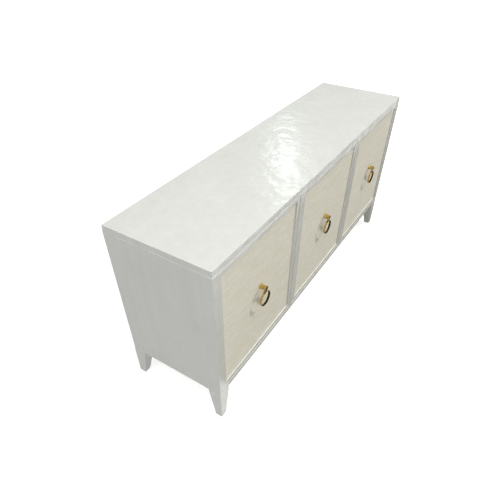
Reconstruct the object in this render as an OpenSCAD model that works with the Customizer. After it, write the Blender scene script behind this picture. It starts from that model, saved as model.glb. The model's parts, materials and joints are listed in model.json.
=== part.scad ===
// Three-door sideboard: a lacquered case on four tapered legs, inset doors with
// mitred frames round woven panels, and a spool-and-ring brass pull on each door.
// +Z is up, the doors face -Y, and the origin is on the floor under the middle
// of the whole sideboard, pulls included.

/* [Case] */
// Width of the case across its two ends
case_w = 1826; // [1500:1:2200]
// Depth of the case from its front edges to its back
case_d = 478; // [420:1:600]
// Height of the end panels, under the top
case_h = 641; // [560:1:760]
// Thickness of the end panels
side_t = 26; // [22:0.5:32]
// Thickness of the two upright dividers
divider_t = 26; // [22:0.5:32]
// Thickness of the bottom panel
bottom_t = 22; // [18:0.5:28]
// Thickness of the top
top_t = 26; // [20:0.5:35]
// How far the top's edges stand back from the case all round
top_setback = 1.5; // [0.5:0.25:4]
// Thickness of the back panel
back_t = 6; // [4:0.5:9]
// Width of the rebate in each end panel that takes the back panel
rebate_w = 13; // [10:0.5:16]

/* [Legs] */
// Height of the tapered part of a leg
leg_h = 154; // [90:1:220]
// Width of a leg at its top
leg_top_w = 61.5; // [54:0.5:72]
// Width of a leg at its foot
leg_foot_w = 33; // [26:0.5:44]
// How far the legs stand proud of the case's outer faces
leg_proud = 1.5; // [0.5:0.25:3]
// Height of the neck between leg and case
neck_h = 9; // [5:0.5:14]
// Thickness of the glide under each foot
glide_t = 2; // [1.5:0.25:4]
// Radius of the glide
glide_r = 12; // [9:0.5:12.5]
// Radius of the bolt that holds a leg
leg_bolt_r = 4; // [3:0.5:5]
// Length of the leg bolt inside the leg and its neck
leg_bolt_in_leg = 42; // [30:1:60]
// Length of the leg bolt inside the bottom panel
leg_bolt_in_panel = 15; // [10:0.5:17]
// Distance of the leg bolt from the case's outer faces
leg_bolt_inset = 40; // [38:0.5:44]

/* [Doors] */
// Gap between a door and the case on all four sides
door_gap = 2; // [1.5:0.25:3]
// How far a door's face stands back from the case's front edges
door_setback = 1.5; // [0.5:0.25:2.5]
// Thickness of a door's frame
door_t = 22; // [20:0.5:26]
// Width of the wood between a door's outer edge and its panel's groove
frame_land = 14; // [13:0.5:18]
// How far the woven panel lies behind the frame's face
panel_recess = 5; // [4:0.25:8]
// Depth of the groove that holds the panel
groove_d = 6; // [5:0.25:9]
// Play between the panel's edge and the bottom of its groove
groove_play = 0.5; // [0.25:0.25:1.5]
// Thickness of the woven facing
weave_t = 1; // [0.8:0.1:2]
// Thickness of the board behind the facing
board_t = 6; // [4:0.5:6.5]

/* [Pulls] */
// Height of the pull's post above the middle of the door
pull_rise = 39.5; // [0:0.5:120]
// Length of the post, out from the woven panel
post_l = 28.5; // [24:0.5:36]
// Radius of the post at the panel
post_base_r = 11.5; // [8.5:0.25:13]
// Radius of the post at its waist
post_waist_r = 10; // [7:0.25:11]
// Radius of the post at its front
post_front_r = 11; // [8:0.25:12]
// Distance of the post's waist from the panel
post_waist_out = 14; // [10:0.5:16]
// Width of the lug under the post that carries the ring
lug_w = 7; // [6:0.25:9]
// Thickness of the lug, from its back to its front
lug_t = 8; // [6:0.5:10]
// Distance of the ring's eye from the panel
eye_out = 22.5; // [18:0.5:23]
// Distance of the ring's eye below the post's axis
eye_drop = 21.5; // [19.5:0.25:25]
// Radius of the circle that the ring's core follows
ring_r = 33.5; // [28:0.5:40]
// Thickness of the ring's band
ring_t = 3; // [2.75:0.05:4]
// Width of the ring's band, from its back to its front
ring_w = 9.5; // [7:0.25:11]
// Chamfer on the band's edges
ring_edge = 0.8; // [0.3:0.05:1]
// Radius of the pin that joins the ring's ends through the lug
ring_pin_r = 1.2; // [1:0.05:1.25]
// Gap between the lug's side and each of the ring's ends
ring_side_gap = 0.8; // [0.6:0.05:1.5]
// Radius of the bolt that holds the post
pull_bolt_r = 2; // [1.5:0.25:2.5]
// Length of the bolt inside the post
pull_bolt_in_post = 10; // [7:0.5:12]
// Radius of the bolt's head
pull_bolt_head_r = 4; // [3:0.25:5]
// Height of the bolt's head
pull_bolt_head_h = 2.5; // [2:0.25:4]

/* [Hinges] */
// Distance of the hinge pin from the door's hinge edge
hinge_inset = 14; // [12:0.5:16]
// Room left between the door's turning corner and the case
swing_room = 0.5; // [0.3:0.05:0.8]
// Radius of the hinge pin
hinge_pin_r = 2; // [1.5:0.25:2.5]
// Length of the hinge pin past the door's leaf
hinge_pin_past = 3; // [2:0.25:4]
// Length of a hinge leaf
leaf_l = 44; // [40:0.5:60]
// Width of a hinge leaf
leaf_w = 9.5; // [9:0.25:12]
// Thickness of a hinge leaf
leaf_t = 2.5; // [2:0.25:3]
// Distance from a leaf's front edge to the middle of its pin
leaf_front = 3.5; // [3.5:0.25:4.5]
// Distance of a leaf's end from the door's hinge edge
leaf_inset = 4; // [3.5:0.25:6]
// Distance from a leaf's far end to the middle of its outer screw
leaf_screw_end = 6; // [5:0.5:9]
// Radius of the washer on the hinge pin
washer_r = 3.4; // [3:0.1:4]

/* [Catches] */
// Distance of a catch's middle from the door's closing edge
catch_inset = 60; // [45:1:120]
// Length of the catch's housing
catch_l = 52; // [48:0.5:64]
// Height of the catch's housing
catch_h = 15; // [14:0.5:20]
// Depth of the catch's housing, front to back
catch_d = 16; // [14:0.5:24]
// Thickness of the housing above its screw heads
catch_floor = 5; // [3:0.5:6]
// Length of the magnet
magnet_l = 26; // [20:0.5:27]
// Height of the magnet
magnet_h = 8; // [6:0.25:9]
// Depth of the magnet
magnet_d = 11; // [8:0.5:12]
// Length of the strike plate on the door
strike_l = 40; // [36:0.5:60]
// Height of the strike plate
strike_h = 10; // [8:0.25:10.5]
// Thickness of the strike plate
strike_t = 1.2; // [1:0.1:2]
// Distance from the strike plate's ends to the middles of its screws
strike_screw_end = 6; // [5:0.5:9]
// Distance of the strike plate's middle below the door's top
strike_drop = 6; // [5.5:0.25:6.5]
// Gap between magnet and strike plate
catch_gap = 0.3; // [0.3:0.05:0.6]

/* [Shelves] */
// Thickness of a shelf
shelf_t = 18; // [15:0.5:25]
// Height of a shelf's underside above the bottom panel
shelf_rise = 290; // [240:1:360]
// Gap between a shelf's ends and the walls of its bay
shelf_end_gap = 1; // [0.5:0.25:2]
// Distance of a shelf's front edge behind the case's front
shelf_front = 50; // [46:1:120]
// Gap between a shelf and the back panel
shelf_back_gap = 2; // [1:0.5:6]
// Radius of a shelf pin
shelf_pin_r = 2.5; // [2:0.25:3]
// Depth of a shelf pin's hole
shelf_pin_depth = 9; // [7:0.5:10]
// Length of the tab on a shelf pin
tab_l = 12; // [8:0.5:16]
// Width of the tab on a shelf pin
tab_w = 9; // [7:0.5:12]
// Thickness of the tab on a shelf pin
tab_t = 3; // [2:0.25:4]
// Distance of the shelf pins from the shelf's front and back edges
shelf_pin_edge = 40; // [20:1:80]
// Distance between the pin holes of a column
pin_hole_pitch = 32; // [25:1:50]
// Pin holes in a column above the one in use, and as many below it
pin_hole_spares = 1; // [0:1:3]

/* [Fasteners] */
// Radius of a screw's shank
screw_r = 1.75; // [1.5:0.05:2]
// Radius of a screw's head
screw_head_r = 3; // [2.5:0.05:3.25]
// Height of a screw's countersunk head
screw_head_h = 1.8; // [1.5:0.05:2]
// Length of a screw
screw_l = 12; // [10:0.5:12]
// Radius of a dowel
dowel_r = 4; // [3:0.25:4.5]
// Length of a dowel on the side of the panel that it enters end on
dowel_in_end = 26; // [18:0.5:34]
// Length of a dowel in the face of the other panel
dowel_in_face = 13; // [9:0.5:15]
// Distance of the outer dowels from the case's front and back
dowel_edge = 80; // [70:1:110]
// Distance between the back panel's screws, at most
back_screw_pitch = 200; // [120:1:300]

/* [Clearances] */
// Room round a turning pin
pin_play = 0.05; // [0.02:0.01:0.1]
// Room round a dowel, bolt or screw in its hole
hole_play = 0.05; // [0.02:0.01:0.1]
// Room past the tip of a pin, dowel, bolt or screw in a blind hole
tip_play = 0.5; // [0.3:0.1:1]

/* [Hidden] */
$fn = 48;
through = 1;

// The bays, and the one whose door is hinged at its right
BAYS = ["left", "middle", "right"];
function hinged_right(bay) = bay == "right";

// Heights
case_z = glide_t + leg_h + neck_h;
floor_z = case_z + bottom_t;
top_z = case_z + case_h;
shelf_z = floor_z + shelf_rise;

// Depths: the sideboard's middle lies half way between its pulls and its back
post_reach = post_l - panel_recess - door_setback;
front_reach = max(leg_proud, post_reach);
front_y = (front_reach - case_d - leg_proud) / 2;
back_y = front_y + case_d;
back_panel_y = back_y - back_t;
door_y = front_y + door_setback;
shelf_y = front_y + shelf_front;
shelf_d = back_panel_y - shelf_back_gap - shelf_y;

// Widths
bay_w = (case_w - 2 * side_t - 2 * divider_t) / 3;
bay_pitch = bay_w + divider_t;
function bay_x(bay) = bay == "left" ? -bay_pitch : bay == "right" ? bay_pitch : 0;

// Doors
door_w = bay_w - 2 * door_gap;
door_h = case_h - bottom_t - 2 * door_gap;
frame_w = frame_land + groove_d;
opening_w = door_w - 2 * frame_w;
opening_h = door_h - 2 * frame_w;
panel_t = weave_t + board_t;
panel_w = opening_w + 2 * (groove_d - groove_play);
panel_h = opening_h + 2 * (groove_d - groove_play);
pull_z = door_h / 2 + pull_rise;
// The pin lies as far behind the door's face as its corner can turn past the case
hinge_y = sqrt(pow(hinge_inset + door_gap - swing_room, 2) - pow(hinge_inset, 2));
leaf_screws_x = [leaf_inset + leaf_l / 2, leaf_inset + leaf_l - leaf_screw_end];
leaf_screw_y = hinge_y - leaf_front + leaf_w / 2;
strike_screw_x = strike_l / 2 - strike_screw_end;
catch_screw_x = (catch_l / 2 + magnet_l / 2) / 2;

// Pulls: the ring's band starts beside the lug, and its pin enters the band a little
pin_half = lug_w / 2 + ring_side_gap;
pin_grip = 1;
// Height of the ring's middle below its pin, and the angle from top to band's end
pin_drop = sqrt(pow(ring_r, 2) - pow(pin_half, 2));
pin_angle = asin(pin_half / ring_r);

// ---- Shared shapes ----

// A board from its low corner
module board(x, y, z, size) {
    translate([x, y, z]) cube(size);
}

// A countersunk screw, its head's face at the origin and its shank down -Z
module screw(play = 0, tip = 0) {
    translate([0, 0, -screw_head_h])
        cylinder(h = screw_head_h, r1 = screw_r + play, r2 = screw_head_r + play);
    translate([0, 0, -screw_l - tip])
        cylinder(h = screw_l + tip - screw_head_h, r = screw_r + play);
}

module screw_space() {
    screw(hole_play, tip_play);
}

// Children at the door in a bay: x runs from its hinge edge, y from its face
// and z from its lower edge
module at_door(bay) {
    translate([bay_x(bay), door_y, floor_z + door_gap])
        mirror([hinged_right(bay) ? 1 : 0, 0, 0])
            translate([-door_w / 2, 0, 0]) children();
}

// Children at a door's lower end, and turned over at its upper end
module at_both_ends() {
    children();
    translate([0, 0, door_h]) mirror([0, 0, 1]) children();
}

// Children at the three dowel places from front to back
module at_dowel_depths() {
    for (y = [front_y + dowel_edge, (front_y + back_y) / 2, back_y - dowel_edge])
        translate([0, y, 0]) children();
}

// ---- Dowels ----

// A dowel along +Z, with the joint's plane at the origin
module dowel(play = 0, tip = 0) {
    translate([0, 0, -dowel_in_end - tip])
        cylinder(h = dowel_in_end + dowel_in_face + 2 * tip, r = dowel_r + play);
}

// Places of all dowels: up into the top, down into the bottom panel, and
// through the end panels' faces into the bottom panel's ends
module at_case_dowels() {
    side_x = case_w / 2 - side_t / 2;
    divider_x = bay_pitch / 2;
    at_dowel_depths() {
        for (x = [-side_x, -divider_x, divider_x, side_x])
            translate([x, 0, top_z]) children();
        for (x = [-divider_x, divider_x])
            translate([x, 0, floor_z]) rotate([180, 0, 0]) children();
        for (turn = [-1, 1])
            translate([turn * (case_w / 2 - side_t), 0, case_z + bottom_t / 2])
                rotate([0, turn * 90, 0]) children();
    }
}

module dowel_holes() {
    at_case_dowels() dowel(hole_play, tip_play);
}

module case_dowels() {
    color("burlywood") at_case_dowels() dowel();
}

// ---- Shelf pins ----

// Children at each shelf pin's wall, with +X pointing into the bay
module at_shelf_pins(bay) {
    for (turn = [-1, 1], y = [shelf_y + shelf_pin_edge, shelf_y + shelf_d - shelf_pin_edge])
        translate([bay_x(bay) + turn * bay_w / 2, y, shelf_z - tab_t])
            rotate([0, 0, turn > 0 ? 180 : 0]) children();
}

module shelf_pin_holes() {
    for (bay = BAYS) at_shelf_pins(bay)
        for (row = [-pin_hole_spares : pin_hole_spares])
            translate([-shelf_pin_depth - tip_play, 0, row * pin_hole_pitch])
                rotate([0, 90, 0])
                    cylinder(h = shelf_pin_depth + tip_play + through,
                             r = shelf_pin_r + hole_play);
}

module shelf_pins() {
    color("silver") for (bay = BAYS) at_shelf_pins(bay) {
        translate([-shelf_pin_depth, 0, 0])
            rotate([0, 90, 0]) cylinder(h = shelf_pin_depth, r = shelf_pin_r);
        translate([0, -tab_w / 2, 0]) cube([tab_l, tab_w, tab_t]);
    }
}

// ---- Screws of the case ----

module at_case_leaf_screws() {
    for (bay = BAYS) at_door(bay) at_both_ends()
        for (x = leaf_screws_x) translate([x, leaf_screw_y, -door_gap]) children();
}

module at_catch_screws() {
    for (bay = BAYS) at_door(bay) at_catch()
        for (turn = [-1, 1])
            translate([turn * catch_screw_x, catch_d / 2, -catch_floor])
                rotate([180, 0, 0]) children();
}

// Up the end panels and dividers, and along the bottom panel
module at_back_screws() {
    up = ceil((case_h - bottom_t) / back_screw_pitch);
    along = ceil(bay_w / back_screw_pitch);
    uprights = [-case_w / 2 + side_t - rebate_w / 2, -bay_pitch / 2,
                bay_pitch / 2, case_w / 2 - side_t + rebate_w / 2];
    for (x = uprights, i = [0 : up - 1])
        translate([x, back_y, floor_z + (i + 0.5) * (case_h - bottom_t) / up])
            rotate([-90, 0, 0]) children();
    for (bay = BAYS, i = [0 : along - 1])
        translate([bay_x(bay) + ((i + 0.5) / along - 0.5) * bay_w, back_y,
                   case_z + bottom_t / 2])
            rotate([-90, 0, 0]) children();
}

module case_screw_holes() {
    at_case_leaf_screws() screw_space();
    at_catch_screws() screw_space();
    at_back_screws() screw_space();
}

module case_screws() {
    color("silver") {
        at_case_leaf_screws() screw();
        at_catch_screws() screw();
        at_back_screws() screw();
    }
}

// ---- Hinges ----

// A hinge leaf's plate, its lower face at the origin's height
module leaf_plate() {
    translate([leaf_inset, hinge_y - leaf_front, 0]) cube([leaf_l, leaf_w, leaf_t]);
}

module leaf_recesses() {
    for (bay = BAYS) at_door(bay) at_both_ends()
        translate([0, 0, -door_gap - leaf_t]) leaf_plate();
}

// Children on the hinge pin's axis
module at_hinge_pin() {
    translate([hinge_inset, hinge_y, 0]) children();
}

module case_hinge_leaves() {
    color("silver") for (bay = BAYS) at_door(bay) at_both_ends() {
        difference() {
            translate([0, 0, -door_gap - leaf_t]) leaf_plate();
            for (x = leaf_screws_x)
                translate([x, leaf_screw_y, -door_gap]) screw_space();
        }
        at_hinge_pin() translate([0, 0, -door_gap - leaf_t])
            cylinder(h = leaf_t + door_gap + leaf_t + hinge_pin_past, r = hinge_pin_r);
    }
}

module hinge_washers() {
    color("ivory") for (bay = BAYS) at_door(bay) at_both_ends() at_hinge_pin()
        translate([0, 0, -door_gap]) difference() {
            cylinder(h = door_gap, r = washer_r);
            translate([0, 0, -through])
                cylinder(h = door_gap + 2 * through, r = hinge_pin_r + pin_play);
        }
}

// The leaves in a door, drawn at the door
module door_hinge_leaves() {
    color("silver") at_both_ends() difference() {
        leaf_plate();
        at_hinge_pin() translate([0, 0, -through])
            cylinder(h = leaf_t + 2 * through, r = hinge_pin_r + pin_play);
        for (x = leaf_screws_x)
            translate([x, leaf_screw_y, 0]) rotate([180, 0, 0]) screw_space();
    }
}

// What the hinges take out of a door's rails
module rail_hinge_space() {
    at_both_ends() {
        leaf_plate();
        at_hinge_pin() translate([0, 0, leaf_t])
            cylinder(h = hinge_pin_past + tip_play, r = washer_r);
    }
}

// ---- Catches ----

// Children at a catch: middle of the housing's front edge, under the top
module at_catch() {
    translate([door_w - catch_inset, door_t + strike_t + catch_gap, door_h + door_gap])
        children();
}

module magnet_space() {
    translate([-magnet_l / 2, 0, -door_gap - strike_drop - magnet_h / 2])
        cube([magnet_l, magnet_d, magnet_h]);
}

module catch_housings() {
    color("white") difference() {
        for (bay = BAYS) at_door(bay) at_catch()
            translate([-catch_l / 2, 0, -catch_h]) cube([catch_l, catch_d, catch_h]);
        for (bay = BAYS) at_door(bay) at_catch() {
            magnet_space();
            for (turn = [-1, 1])
                translate([turn * catch_screw_x, catch_d / 2, -catch_h - through])
                    cylinder(h = catch_h + through - catch_floor, r = screw_head_r + hole_play);
        }
        at_catch_screws() screw_space();
    }
}

module catch_magnets() {
    color("dimgray") for (bay = BAYS) at_door(bay) at_catch() magnet_space();
}

// ---- Case ----

module top_panel() {
    color("whitesmoke") difference() {
        board(-case_w / 2 + top_setback, front_y + top_setback, top_z,
              [case_w - 2 * top_setback, case_d - 2 * top_setback, top_t]);
        leaf_recesses();
        dowel_holes();
        case_screw_holes();
    }
}

module bottom_panel() {
    color("whitesmoke") difference() {
        board(-case_w / 2 + side_t, front_y, case_z,
              [case_w - 2 * side_t, case_d - back_t, bottom_t]);
        leaf_recesses();
        dowel_holes();
        case_screw_holes();
        leg_bolt_holes();
    }
}

// An end panel, turn -1 at the left and 1 at the right
module side_panel(turn) {
    color("whitesmoke") difference() {
        board(turn * (case_w - side_t) / 2 - side_t / 2, front_y, case_z,
              [side_t, case_d, case_h]);
        board(turn * (case_w / 2 - side_t + rebate_w / 2) - rebate_w / 2 - through,
              back_panel_y, case_z - through,
              [rebate_w + through, back_t + through, case_h + 2 * through]);
        dowel_holes();
        shelf_pin_holes();
        case_screw_holes();
    }
}

module left_side_panel() {
    side_panel(-1);
}

module right_side_panel() {
    mirror([1, 0, 0]) side_panel(-1);
}

module divider(turn) {
    color("whitesmoke") difference() {
        board(turn * bay_pitch / 2 - divider_t / 2, front_y, floor_z,
              [divider_t, case_d - back_t, case_h - bottom_t]);
        dowel_holes();
        shelf_pin_holes();
        case_screw_holes();
    }
}

module left_divider() {
    divider(-1);
}

module right_divider() {
    divider(1);
}

module back_panel() {
    half_w = case_w / 2 - side_t + rebate_w;
    color("white") difference() {
        board(-half_w, back_panel_y, case_z, [2 * half_w, back_t, case_h]);
        case_screw_holes();
    }
}

module shelf(bay) {
    w = bay_w - 2 * shelf_end_gap;
    color("whitesmoke") board(bay_x(bay) - w / 2, shelf_y, shelf_z, [w, shelf_d, shelf_t]);
}

// ---- Legs ----

// Outline of a leg's side: straight outside at x = 0 and tapered inside
module leg_outline() {
    polygon([[0, glide_t], [leg_foot_w, glide_t],
             [leg_top_w, glide_t + leg_h], [0, glide_t + leg_h]]);
}

// Children at a corner of the case, mirrored to the front left one
module at_corner(right, rear) {
    mirror([right, 0, 0])
        translate([0, (front_y + back_y) / 2, 0]) mirror([0, rear, 0])
            translate([-case_w / 2, -case_d / 2, 0]) children();
}

module at_corners() {
    for (right = [0, 1], rear = [0, 1]) at_corner(right, rear) children();
}

module leg_bolt(play = 0, tip = 0) {
    translate([leg_bolt_inset, leg_bolt_inset, case_z - leg_bolt_in_leg - tip])
        cylinder(h = leg_bolt_in_leg + leg_bolt_in_panel + 2 * tip, r = leg_bolt_r + play);
}

module leg_bolt_holes() {
    at_corners() leg_bolt(hole_play, tip_play);
}

// A leg with its neck, at the front left corner
module leg() {
    neck_w = leg_top_w - leg_proud;
    color("whitesmoke") difference() {
        union() {
            translate([-leg_proud, -leg_proud, 0]) intersection() {
                translate([0, leg_top_w, 0]) rotate([90, 0, 0])
                    linear_extrude(leg_top_w) leg_outline();
                rotate([90, 0, 90]) linear_extrude(leg_top_w) leg_outline();
            }
            translate([0, 0, glide_t + leg_h]) cube([neck_w, neck_w, neck_h]);
        }
        leg_bolt(hole_play, tip_play);
    }
}

module leg_glides() {
    foot_middle = leg_foot_w / 2 - leg_proud;
    color("dimgray") at_corners()
        translate([foot_middle, foot_middle, 0]) cylinder(h = glide_t, r = glide_r);
}

module leg_bolts() {
    color("silver") at_corners() leg_bolt();
}

// ---- Doors, each part drawn at its door ----

// A frame member along +X with mitred ends, outer edge at the origin, grooved inside
module frame_member(length) {
    groove_at = frame_w - groove_d;
    difference() {
        translate([0, door_t, 0]) rotate([90, 0, 0]) linear_extrude(door_t)
            polygon([[0, 0], [length, 0], [length - frame_w, frame_w], [frame_w, frame_w]]);
        translate([groove_at, panel_recess, groove_at])
            cube([length - 2 * groove_at, panel_t, groove_d + through]);
    }
}

module door_bottom_rail() {
    color("whitesmoke") difference() {
        frame_member(door_w);
        rail_hinge_space();
        door_screw_holes();
    }
}

module door_top_rail() {
    color("whitesmoke") difference() {
        translate([0, 0, door_h]) mirror([0, 0, 1]) frame_member(door_w);
        rail_hinge_space();
        door_screw_holes();
    }
}

module door_hinge_stile() {
    color("whitesmoke") mirror([1, 0, 0]) rotate([0, -90, 0]) frame_member(door_h);
}

module door_closing_stile() {
    color("whitesmoke") translate([door_w, 0, 0]) rotate([0, -90, 0]) frame_member(door_h);
}

module door_sheet(y, thickness) {
    translate([(door_w - panel_w) / 2, y, (door_h - panel_h) / 2])
        cube([panel_w, thickness, panel_h]);
}

module door_board() {
    color("burlywood") difference() {
        door_sheet(panel_recess + weave_t, board_t);
        pull_bolt_hole();
    }
}

module door_weave() {
    color("wheat") difference() {
        door_sheet(panel_recess, weave_t);
        pull_bolt_hole();
    }
}

module at_door_screws() {
    at_both_ends() for (x = leaf_screws_x)
        translate([x, leaf_screw_y, 0]) rotate([180, 0, 0]) children();
    for (turn = [-1, 1])
        translate([door_w - catch_inset + turn * strike_screw_x, door_t + strike_t,
                   door_h - strike_drop])
            rotate([-90, 0, 0]) children();
}

module door_screw_holes() {
    at_door_screws() screw_space();
}

module door_screws() {
    color("silver") at_door_screws() screw();
}

module door_strike() {
    color("silver") difference() {
        translate([door_w - catch_inset - strike_l / 2, door_t,
                   door_h - strike_drop - strike_h / 2])
            cube([strike_l, strike_t, strike_h]);
        door_screw_holes();
    }
}

// ---- Pulls, each part drawn at its door ----

// Children on the post's axis at the panel, with +Z pointing out of the door
module at_pull() {
    translate([door_w / 2, panel_recess, pull_z]) rotate([90, 0, 0]) children();
}

// Radius of the post at a distance from the panel: a spool with a soft waist
function post_r(out) = out < post_waist_out
    ? post_waist_r + (post_base_r - post_waist_r) * pow(1 - out / post_waist_out, 2)
    : post_waist_r + (post_front_r - post_waist_r)
        * pow((out - post_waist_out) / (post_l - post_waist_out), 2);

module pull_bolt(play = 0, tip = 0) {
    back = -panel_t;
    translate([0, 0, back])
        cylinder(h = panel_t + pull_bolt_in_post + tip, r = pull_bolt_r + play);
    translate([0, 0, back - pull_bolt_head_h])
        cylinder(h = pull_bolt_head_h, r = pull_bolt_head_r);
}

module pull_bolt_hole() {
    at_pull() pull_bolt(hole_play, tip_play);
}

module pull_post() {
    steps = 10;
    color("goldenrod") difference() {
        at_pull() difference() {
            union() {
                rotate_extrude() polygon(concat(
                    [[0, 0]],
                    [for (i = [0 : steps]) [post_r(i / steps * post_l), i / steps * post_l]],
                    [[0, post_l]]));
                translate([0, -eye_drop, eye_out - lug_t / 2]) {
                    translate([-lug_w / 2, 0, 0])
                        cube([lug_w, eye_drop - post_waist_r / 2, lug_t]);
                    cylinder(h = lug_t, r = lug_w / 2);
                }
            }
            translate([0, -eye_drop, eye_out]) rotate([0, 90, 0])
                cylinder(h = 2 * pin_half, r = ring_pin_r + pin_play, center = true);
        }
        pull_bolt_hole();
    }
}

module door_pull_bolt() {
    color("silver") at_pull() pull_bolt();
}

// The bent band from one end of the pin round to the other
module ring_band() {
    flat = ring_t / 2 - ring_edge;
    rotate([0, 0, 90 + pin_angle])
        rotate_extrude(angle = 360 - 2 * pin_angle) translate([ring_r, 0])
            polygon([for (side = [1, -1], p = [[-1, 0], [-1, 1], [1, 1], [1, 0]])
                side * [p[0] * (p[1] == 0 ? ring_t / 2 : flat),
                        p[1] == 0 ? ring_w / 2 - ring_edge : ring_w / 2]]);
}

module pull_ring() {
    color("goldenrod") at_pull() translate([0, -eye_drop, eye_out]) {
        translate([0, -pin_drop, 0]) ring_band();
        rotate([0, 90, 0])
            cylinder(h = 2 * (pin_half + pin_grip), r = ring_pin_r, center = true);
    }
}

// ---- What is drawn ----

top_panel();
left_side_panel();
right_side_panel();
bottom_panel();
left_divider();
right_divider();
back_panel();
at_corner(0, 0) leg();  // front_left_leg
at_corner(1, 0) leg();  // front_right_leg
at_corner(0, 1) leg();  // rear_left_leg
at_corner(1, 1) leg();  // rear_right_leg
leg_glides();
leg_bolts();
shelf("left");  // left_shelf
shelf("middle");  // middle_shelf
shelf("right");  // right_shelf
shelf_pins();
case_dowels();
case_screws();
catch_housings();
catch_magnets();
case_hinge_leaves();
hinge_washers();
at_door("left") door_hinge_stile();  // left_door_hinge_stile
at_door("left") door_closing_stile();  // left_door_closing_stile
at_door("left") door_top_rail();  // left_door_top_rail
at_door("left") door_bottom_rail();  // left_door_bottom_rail
at_door("left") door_board();  // left_door_board
at_door("left") door_weave();  // left_door_weave
at_door("left") door_hinge_leaves();  // left_door_hinge_leaves
at_door("left") door_screws();  // left_door_screws
at_door("left") door_strike();  // left_door_strike
at_door("left") pull_post();  // left_pull_post
at_door("left") door_pull_bolt();  // left_pull_bolt
at_door("left") pull_ring();  // left_pull_ring
at_door("middle") door_hinge_stile();  // middle_door_hinge_stile
at_door("middle") door_closing_stile();  // middle_door_closing_stile
at_door("middle") door_top_rail();  // middle_door_top_rail
at_door("middle") door_bottom_rail();  // middle_door_bottom_rail
at_door("middle") door_board();  // middle_door_board
at_door("middle") door_weave();  // middle_door_weave
at_door("middle") door_hinge_leaves();  // middle_door_hinge_leaves
at_door("middle") door_screws();  // middle_door_screws
at_door("middle") door_strike();  // middle_door_strike
at_door("middle") pull_post();  // middle_pull_post
at_door("middle") door_pull_bolt();  // middle_pull_bolt
at_door("middle") pull_ring();  // middle_pull_ring
at_door("right") door_hinge_stile();  // right_door_hinge_stile
at_door("right") door_closing_stile();  // right_door_closing_stile
at_door("right") door_top_rail();  // right_door_top_rail
at_door("right") door_bottom_rail();  // right_door_bottom_rail
at_door("right") door_board();  // right_door_board
at_door("right") door_weave();  // right_door_weave
at_door("right") door_hinge_leaves();  // right_door_hinge_leaves
at_door("right") door_screws();  // right_door_screws
at_door("right") door_strike();  // right_door_strike
at_door("right") pull_post();  // right_pull_post
at_door("right") door_pull_bolt();  // right_pull_bolt
at_door("right") pull_ring();  // right_pull_ring
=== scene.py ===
"""Dresses a packed three-door sideboard: eased lacquered boards and tapered legs, woven
raffia panels in mitred frames, turned brass posts with swinging rings, and the hinges,
catches and screws that hold them, on a pale floor in plain soft light."""

import json
import logging
import math
from collections.abc import Callable, Iterable
from dataclasses import dataclass, field
from enum import Enum
from functools import cache

import bmesh
import bpy
from mathutils import Matrix, Vector, noise


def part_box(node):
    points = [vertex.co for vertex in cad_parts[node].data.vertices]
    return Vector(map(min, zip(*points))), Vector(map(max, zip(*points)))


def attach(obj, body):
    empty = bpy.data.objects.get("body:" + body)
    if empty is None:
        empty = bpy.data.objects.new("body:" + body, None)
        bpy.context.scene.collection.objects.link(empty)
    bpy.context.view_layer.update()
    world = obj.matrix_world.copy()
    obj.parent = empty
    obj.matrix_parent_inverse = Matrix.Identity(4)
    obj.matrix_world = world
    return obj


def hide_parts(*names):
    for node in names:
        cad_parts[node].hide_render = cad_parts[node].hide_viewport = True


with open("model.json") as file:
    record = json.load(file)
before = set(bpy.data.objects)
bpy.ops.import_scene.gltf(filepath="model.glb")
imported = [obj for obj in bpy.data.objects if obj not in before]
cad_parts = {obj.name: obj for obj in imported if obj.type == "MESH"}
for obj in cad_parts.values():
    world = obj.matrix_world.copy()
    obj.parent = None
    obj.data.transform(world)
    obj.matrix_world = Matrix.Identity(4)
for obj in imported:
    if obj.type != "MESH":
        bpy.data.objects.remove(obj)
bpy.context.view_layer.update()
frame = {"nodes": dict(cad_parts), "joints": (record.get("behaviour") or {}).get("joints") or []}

NODES = frame["nodes"]
MM = 0.001
WELD = 0.001 * MM
FLAT_DEG = 1
CREASE_DEG = 50
WHITE = "#FFFFFF"

# Board edges shorter than the first, and all edges blunter than the second, stay sharp.
SHORTEST_ARRIS = 20 * MM
LEAST_CORNER_DEG = 30

# The least share of a face's normal along an axis: for a face that looks straight along
# it, and for a ledge. Then the largest area of a ledge, in square metres.
STRAIGHT = 0.95
# Ledges, tilted up past LEDGE_TILT and smaller than LEDGE_AREA, get a painted highlight.
LEDGE_TILT = 0.3
LEDGE_AREA = 0.02
log = logging.getLogger("sideboard")


class Slot(Enum):
    """The record's material slots."""

    LACQUER = "white_lacquer"
    INSIDE = "inside_paint"
    BACK = "back_board"
    RAFFIA = "woven_raffia"
    BRASS = "satin_brass"
    STEEL = "zinc_steel"
    BEECH = "beech_dowel"
    PLASTIC = "white_plastic"
    MAGNET = "ferrite_magnet"
    WASHER = "nylon_washer"
    GLIDE = "felt_glide"


class Bay(Enum):
    """The three bays from left to right, each with its door."""

    LEFT = "left"
    MIDDLE = "middle"
    RIGHT = "right"


# ---- Nodes and colours ----


def linear(colour: str) -> tuple[float, float, float, float]:
    """Turns an sRGB hex colour into linear light.

    Args:
        colour: Six hex digits after a hash.

    Returns:
        Red, green, blue and an alpha of one.
    """
    parts = [int(colour[i : i + 2], 16) / 255 for i in (1, 3, 5)]
    red, green, blue = (
        p / 12.92 if p <= 0.04045 else ((p + 0.055) / 1.055) ** 2.4 for p in parts
    )
    return red, green, blue, 1.0


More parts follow.
